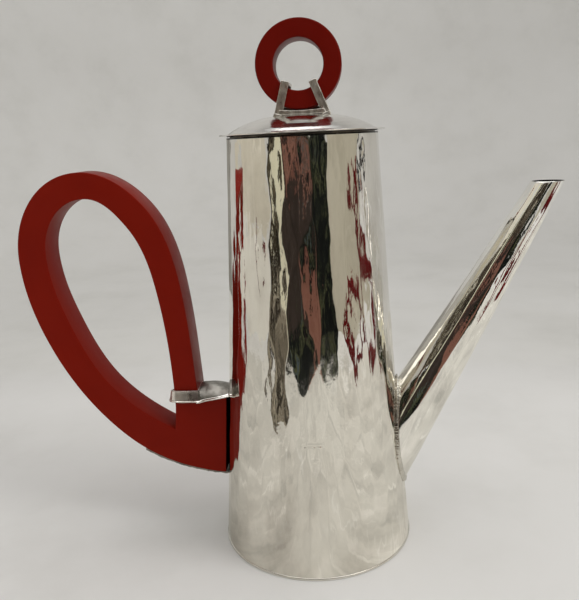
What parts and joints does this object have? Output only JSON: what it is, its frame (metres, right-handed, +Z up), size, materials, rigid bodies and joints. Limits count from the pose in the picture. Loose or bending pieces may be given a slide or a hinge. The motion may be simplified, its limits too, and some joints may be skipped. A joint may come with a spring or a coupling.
{
  "type": "coffee pot",
  "caption": "Tall tapered coffee pot of hammered silver with a straight spout, a red lacquered loop handle and a lift-off lid with a red ring knob.",
  "frame": {"origin": "centre of the base, on the table", "axes": "+Z up along the body's axis, +X towards the spout, -X towards the handle; the handle's and ring's flat faces look along Y"},
  "size_m": [0.2442, 0.0902, 0.2362],
  "materials": {
    "silver_wall": "polished sheet silver with vertical planishing marks",
    "silver_lid": "smooth polished sheet silver",
    "silver_sheet": "worn sheet silver with soft dents and tarnish",
    "silver_plain": "plain sheet silver",
    "silver_solder": "rough silver solder",
    "lacquer": "wood under satin red lacquer"
  },
  "bodies": {
    "pot": {"body_wall": "silver_wall", "base_disc": "silver_plain", "spout_tube": "silver_wall", "spout_seam": "silver_solder", "handle_loop": "lacquer", "handle_bracket": "silver_sheet", "shoulder_pin": "silver_plain", "handle_strip": "silver_sheet", "strip_pins": "silver_plain"},
    "lid": {"lid_dome": "silver_lid", "lid_bezel": "silver_plain", "knob_ring": "lacquer", "knob_claw_left": "silver_sheet", "knob_claw_right": "silver_sheet", "knob_bar_front": "silver_sheet", "knob_bar_back": "silver_sheet"}
  },
  "joints": [
    {"name": "lid_lift", "type": "slide", "parent": "pot", "child": "lid", "axis": [0, 0, 1], "range_m": [0, 0.1]}
  ]
}
